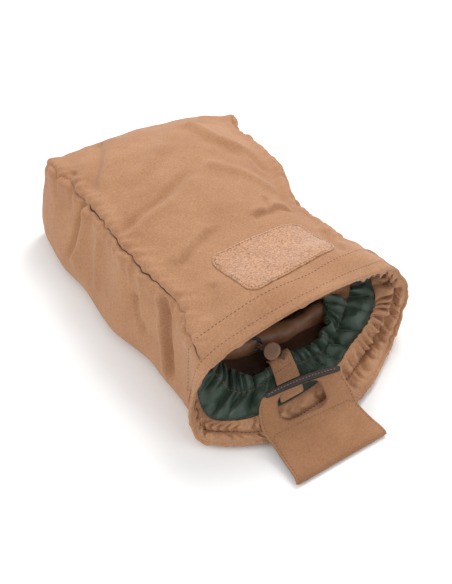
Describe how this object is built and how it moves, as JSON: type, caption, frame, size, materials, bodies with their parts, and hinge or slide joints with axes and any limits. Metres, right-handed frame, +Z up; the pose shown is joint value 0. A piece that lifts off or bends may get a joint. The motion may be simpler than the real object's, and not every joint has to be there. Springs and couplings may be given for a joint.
{
  "type": "hand warmer muff",
  "caption": "Boxed fabric hand muff with an elastic facing and lined cuff at its mouth, a drawcord pouch with a cord lock inside, a loop patch on top and a folded closing flap.",
  "frame": {"origin": "on the base plane, under the middle of the bag's width and 226 mm in front of its closed end", "axes": "+X across the bag to the right as seen from its mouth, +Y from the mouth to the closed end, +Z up from the base"},
  "size_m": [0.264, 0.445, 0.1181],
  "materials": {
    "shell_cloth": "tightly woven matt nylon-cotton cloth",
    "facing_cloth": "the shell cloth, gathered",
    "green_lining": "thin nylon taffeta with a soft sheen",
    "elastic": "woven elastic tape",
    "batting": "synthetic batting",
    "coated_cloth": "smooth coated nylon",
    "cord": "braided cord",
    "black_metal": "black enamelled brass",
    "lock_plastic": "moulded nylon",
    "spring_steel": "drawn wire",
    "loop_pile": "looped pile of a touch fastener",
    "dark_leather": "dark brown leather strip",
    "hook_tape": "hooked tape of a touch fastener"
  },
  "bodies": {
    "bag": {"top_panel": "shell_cloth", "bottom_panel": "shell_cloth", "left_side_panel": "shell_cloth", "right_side_panel": "shell_cloth", "end_panel": "shell_cloth", "mouth_facing": "facing_cloth", "mouth_elastic": "elastic", "lining_cuff": "green_lining", "cuff_elastic": "elastic", "cuff_placket": "facing_cloth", "insulation_wrap": "batting", "insulation_end": "batting", "inner_pouch": "coated_cloth", "drawcord_tunnel": "coated_cloth", "drawcord": "cord", "drawcord_strand_left": "cord", "drawcord_strand_right": "cord", "drawcord_knot": "cord", "eyelet": "black_metal", "eyelet_washer": "black_metal", "loop_patch": "loop_pile"},
    "flap_root": {"flap_back": "shell_cloth"},
    "flap_tip": {"flap_front": "shell_cloth", "flap_bar": "dark_leather", "flap_hook_tape": "hook_tape"},
    "cord_lock": {"cordlock_barrel": "lock_plastic", "cordlock_spring": "spring_steel"},
    "lock_plunger": {"cordlock_plunger": "lock_plastic"}
  },
  "joints": [
    {"name": "flap_swing", "type": "hinge", "parent": "bag", "child": "flap_root", "pos_m": [0, -0.1805, 0.0013], "axis": [1, 0, 0], "range_deg": [0, 90]},
    {"name": "flap_unfold", "type": "hinge", "parent": "flap_root", "child": "flap_tip", "pos_m": [0, -0.219, 0.0026], "axis": [1, 0, 0], "range_deg": [0, 148]},
    {"name": "cordlock_slide", "type": "slide", "parent": "bag", "child": "cord_lock", "axis": [0.5625, -0.8183, -0.1178], "range_m": [-0.003, 0]},
    {"name": "button_press", "type": "slide", "parent": "cord_lock", "child": "lock_plunger", "axis": [0.4999, 0.4502, -0.7399], "range_m": [0, 0.002], "stiffness_N_per_m": 300, "springref_m": -0.002, "deforming": ["cordlock_spring"]}
  ]
}
